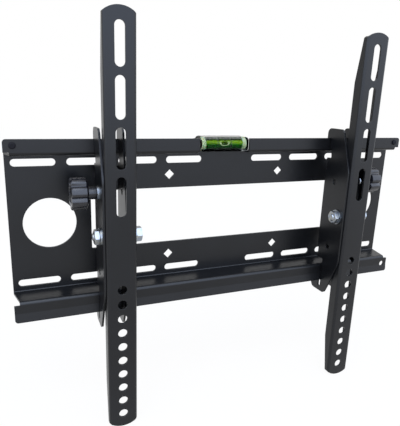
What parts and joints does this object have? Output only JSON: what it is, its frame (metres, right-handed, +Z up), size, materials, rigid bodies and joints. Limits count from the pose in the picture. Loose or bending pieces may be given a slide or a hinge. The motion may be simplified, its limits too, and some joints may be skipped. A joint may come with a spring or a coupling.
{
  "type": "tilting tv wall bracket",
  "caption": "Slotted wall plate with folded rails, a bubble level and hang-on upright arms that slide along it and tilt about a bolt, locked by star knobs, to carry a flat screen.",
  "frame": {"origin": "middle of the wall slots, in the wall plane that the plate's back face lies on", "axes": "+X to the right as seen from the room, +Y into the wall, +Z up"},
  "size_m": [0.45, 0.06, 0.397],
  "materials": {
    "powder_coat": "satin black powder coat",
    "zinc": "bright zinc plating",
    "black_plastic": "moulded, half gloss",
    "clear_acrylic": "clear, polished",
    "green_liquid": "clear green liquid",
    "white_plastic": "smooth",
    "black_print": "matt",
    "foam": "matt foam"
  },
  "bodies": {
    "wall": {"wall_plate": "powder_coat", "end_stops": "black_plastic", "level_block": "clear_acrylic", "level_liquid": "green_liquid", "level_plugs": "white_plastic", "level_rings": "black_print", "level_pad": "foam"},
    "left_hook": {"left_hook_bracket": "powder_coat", "left_pivot_bolt": "zinc", "left_pivot_head_washer": "zinc", "left_pivot_nut_washer": "zinc", "left_pivot_nut": "zinc", "left_lock_nut": "zinc"},
    "left_arm": {"left_arm": "powder_coat"},
    "left_knob": {"left_tilt_knob": "black_plastic", "left_knob_stud": "zinc", "left_lock_washer": "zinc"},
    "right_hook": {"right_hook_bracket": "powder_coat", "right_pivot_bolt": "zinc", "right_pivot_head_washer": "zinc", "right_pivot_nut_washer": "zinc", "right_pivot_nut": "zinc", "right_lock_nut": "zinc"},
    "right_arm": {"right_arm": "powder_coat"},
    "right_knob": {"right_tilt_knob": "black_plastic", "right_knob_stud": "zinc", "right_lock_washer": "zinc"}
  },
  "joints": [
    {"name": "left_slide", "type": "slide", "parent": "wall", "child": "left_hook", "axis": [1, 0, 0], "range_m": [-0.066, 0.07]},
    {"name": "left_tilt", "type": "hinge", "parent": "left_hook", "child": "left_arm", "pos_m": [-0.13, -0.046, -0.004], "axis": [1, 0, 0], "range_deg": [-10, 10]},
    {"name": "left_knob_turn", "type": "hinge", "parent": "left_hook", "child": "left_knob", "pos_m": [-0.1638, -0.036, 0.035], "axis": [-1, 0, 0], "range_deg": [0, 360]},
    {"name": "right_slide", "type": "slide", "parent": "wall", "child": "right_hook", "axis": [1, 0, 0], "range_m": [-0.102, 0.061]},
    {"name": "right_tilt", "type": "hinge", "parent": "right_hook", "child": "right_arm", "pos_m": [0.1378, -0.046, -0.004], "axis": [1, 0, 0], "range_deg": [-10, 10]},
    {"name": "right_knob_turn", "type": "hinge", "parent": "right_hook", "child": "right_knob", "pos_m": [0.1696, -0.036, 0.035], "axis": [1, 0, 0], "range_deg": [0, 360]}
  ]
}
